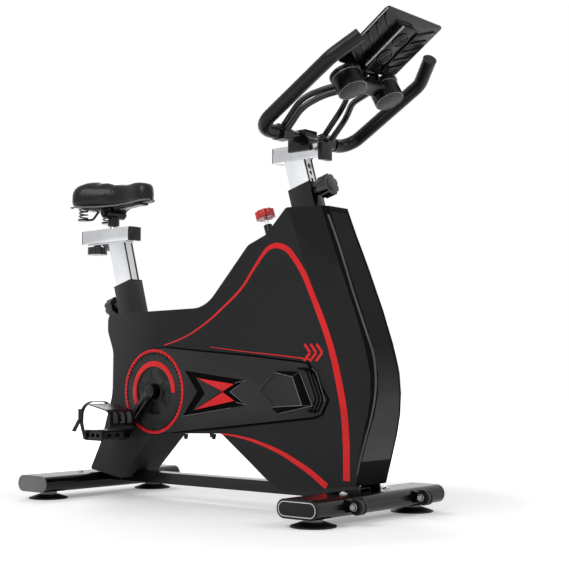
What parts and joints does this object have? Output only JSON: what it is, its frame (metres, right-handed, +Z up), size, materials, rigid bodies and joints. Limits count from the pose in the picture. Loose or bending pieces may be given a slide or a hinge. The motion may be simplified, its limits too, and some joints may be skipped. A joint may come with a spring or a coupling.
{
  "type": "indoor spin bike",
  "caption": "Indoor spin bike with enclosed flywheel, adjustable saddle and handlebar posts, toe-cage pedals, push-down brake knob and tablet holder.",
  "frame": {"origin": "on the floor under the middle of the machine's bounding box", "axes": "+X the way the rider faces, +Y the rider's left, +Z up"},
  "size_m": [1.1972, 0.516, 1.203],
  "materials": {
    "black_steel": "gloss black powder coat",
    "black_plastic": "satin moulded",
    "grey_plastic": "satin moulded",
    "foot_rubber": "matt",
    "wheel_plastic": "satin",
    "shroud_plastic": "charcoal satin with red inlaid lines",
    "gloss_black": "near black, soft gloss",
    "cover_plastic": "satin black with a red ring and red inlays",
    "steel": "zinc plated",
    "crank_steel": "satin black",
    "pulley_plastic": "moulded",
    "belt_rubber": "matt ribbed",
    "iron": "turned and painted",
    "webbing": "woven",
    "chrome": "polished",
    "red_plastic": "red moulded",
    "saddle_skin": "matt black synthetic",
    "grip_foam": "soft foam, matt"
  },
  "bodies": {
    "frame": {"base_rail": "black_steel", "belt_cover_left": "cover_plastic", "belt_cover_right": "cover_plastic", "bottom_bracket": "black_steel", "brake_tube": "black_steel", "crank_bearings": "steel", "drive_belt": "belt_rubber", "floor_bar_bolts": "steel", "fork": "black_steel", "front_cover": "gloss_black", "front_end_caps": "black_plastic", "front_floor_bar": "black_steel", "head_sleeve": "black_steel", "post_bushings": "black_plastic", "rear_end_caps": "grey_plastic", "rear_floor_bar": "black_steel", "rear_leg": "black_steel", "seat_sleeve": "black_steel", "shroud_left": "shroud_plastic", "shroud_right": "shroud_plastic", "spine_tube": "black_steel", "wheel_brackets": "black_steel"},
    "transport_wheel_right": {"transport_wheel_right": "wheel_plastic"},
    "transport_wheel_left": {"transport_wheel_left": "wheel_plastic"},
    "foot_front_right": {"foot_front_right": "foot_rubber"},
    "foot_front_left": {"foot_front_left": "foot_rubber"},
    "foot_rear_right": {"foot_rear_right": "foot_rubber"},
    "foot_rear_left": {"foot_rear_left": "foot_rubber"},
    "flywheel": {"flywheel": "iron"},
    "crank": {"crank_axle": "steel", "crank_arm_right": "crank_steel", "crank_arm_left": "crank_steel", "drive_pulley": "pulley_plastic"},
    "pedal_right": {"pedal_right": "black_plastic", "toe_cage_right": "black_plastic", "toe_strap_right": "webbing"},
    "pedal_left": {"pedal_left": "black_plastic", "toe_cage_left": "black_plastic", "toe_strap_left": "webbing"},
    "brake_rod": {"brake_rod": "chrome"},
    "resistance_knob": {"resistance_knob": "red_plastic"},
    "seat_post": {"seat_post": "chrome"},
    "seat_post_knob": {"seat_post_knob": "black_plastic"},
    "seat_slider": {"seat_slider": "chrome", "seat_slider_caps": "black_plastic", "saddle_clamp": "steel"},
    "seat_slider_knob": {"seat_slider_knob": "black_plastic"},
    "saddle": {"saddle_rails": "steel", "saddle_shell": "black_plastic", "saddle": "saddle_skin"},
    "handlebar_post": {"handlebar_post": "chrome", "head_tube_caps": "black_plastic"},
    "handlebar_post_knob": {"handlebar_post_knob": "black_plastic"},
    "handlebar": {"handlebar_carriage": "black_steel", "handlebar": "black_steel", "grips": "grip_foam", "hand_rests": "black_plastic", "inner_tubes": "black_steel"},
    "handlebar_slide_knob": {"handlebar_slide_knob": "black_plastic"},
    "tablet_holder": {"tablet_holder": "gloss_black"}
  },
  "joints": [
    {"name": "transport_wheel_right_roll", "type": "hinge", "parent": "frame", "child": "transport_wheel_right", "pos_m": [0.5204, -0.135, 0.046], "axis": [0, 1, 0], "continuous": true},
    {"name": "transport_wheel_left_roll", "type": "hinge", "parent": "frame", "child": "transport_wheel_left", "pos_m": [0.5204, 0.135, 0.046], "axis": [0, 1, 0], "continuous": true},
    {"name": "foot_front_right_turn", "type": "hinge", "parent": "frame", "child": "foot_front_right", "pos_m": [0.4384, -0.198, 0.01], "axis": [0, 0, 1], "range_deg": [-360, 360]},
    {"name": "foot_front_left_turn", "type": "hinge", "parent": "frame", "child": "foot_front_left", "pos_m": [0.4384, 0.198, 0.01], "axis": [0, 0, 1], "range_deg": [-360, 360]},
    {"name": "foot_rear_right_turn", "type": "hinge", "parent": "frame", "child": "foot_rear_right", "pos_m": [-0.5156, -0.198, 0.01], "axis": [0, 0, 1], "range_deg": [-360, 360]},
    {"name": "foot_rear_left_turn", "type": "hinge", "parent": "frame", "child": "foot_rear_left", "pos_m": [-0.5156, 0.198, 0.01], "axis": [0, 0, 1], "range_deg": [-360, 360]},
    {"name": "flywheel_spin", "type": "hinge", "parent": "frame", "child": "flywheel", "pos_m": [0.3354, 0, 0.29], "axis": [0, 1, 0], "continuous": true},
    {"name": "crank_spin", "type": "hinge", "parent": "frame", "child": "crank", "pos_m": [-0.2293, 0, 0.2989], "axis": [0, 1, 0], "continuous": true},
    {"name": "pedal_right_spin", "type": "hinge", "parent": "crank", "child": "pedal_right", "pos_m": [-0.33165, -0.152, 0.18116], "axis": [0, 1, 0], "continuous": true},
    {"name": "pedal_left_spin", "type": "hinge", "parent": "crank", "child": "pedal_left", "pos_m": [-0.12696, 0.152, 0.41663], "axis": [0, 1, 0], "continuous": true},
    {"name": "brake_push", "type": "slide", "parent": "frame", "child": "brake_rod", "axis": [0.309, 0, -0.9511], "range_m": [0, 0.006], "stiffness_N_per_m": 3000, "springref_m": -0.004},
    {"name": "resistance_turn", "type": "hinge", "parent": "brake_rod", "child": "resistance_knob", "pos_m": [0.11949, 0, 0.75449], "axis": [-0.309, 0, 0.9511], "range_deg": [-360, 360]},
    {"name": "seat_post_height", "type": "slide", "parent": "frame", "child": "seat_post", "axis": [-0.2756, 0, 0.9613], "range_m": [-0.08, 0.06]},
    {"name": "seat_post_pin", "type": "slide", "parent": "frame", "child": "seat_post_knob", "axis": [-0.9613, 0, -0.2756], "range_m": [0, 0.008], "stiffness_N_per_m": 900, "springref_m": -0.006},
    {"name": "seat_slider_reach", "type": "slide", "parent": "seat_post", "child": "seat_slider", "axis": [1, 0, 0], "range_m": [-0.035, 0.025]},
    {"name": "seat_slider_knob_turn", "type": "hinge", "parent": "seat_post", "child": "seat_slider_knob", "pos_m": [-0.5506, 0, 0.711], "axis": [0, 0, 1], "range_deg": [-360, 360]},
    {"name": "saddle_tilt", "type": "hinge", "parent": "seat_slider", "child": "saddle", "pos_m": [-0.4796, 0, 0.816], "axis": [0, 1, 0], "range_deg": [-10, 10]},
    {"name": "handlebar_post_height", "type": "slide", "parent": "frame", "child": "handlebar_post", "axis": [-0.2756, 0, 0.9613], "range_m": [-0.028, 0.06]},
    {"name": "handlebar_post_pin", "type": "slide", "parent": "frame", "child": "handlebar_post_knob", "axis": [0.9613, 0, 0.2756], "range_m": [0, 0.008], "stiffness_N_per_m": 900, "springref_m": -0.006},
    {"name": "handlebar_reach", "type": "slide", "parent": "handlebar_post", "child": "handlebar", "axis": [1, 0, 0], "range_m": [-0.05, 0.02]},
    {"name": "handlebar_slide_knob_turn", "type": "hinge", "parent": "handlebar", "child": "handlebar_slide_knob", "pos_m": [0.2714, 0.03, 0.923], "axis": [0, 1, 0], "range_deg": [-360, 360]},
    {"name": "tablet_holder_tilt", "type": "hinge", "parent": "handlebar", "child": "tablet_holder", "pos_m": [0.4534, 0, 1.092], "axis": [0, 1, 0], "range_deg": [-30, 10]}
  ],
  "couplings": [
    {"joint": "crank_spin", "follows": "flywheel_spin", "ratio": 0.29546}
  ]
}
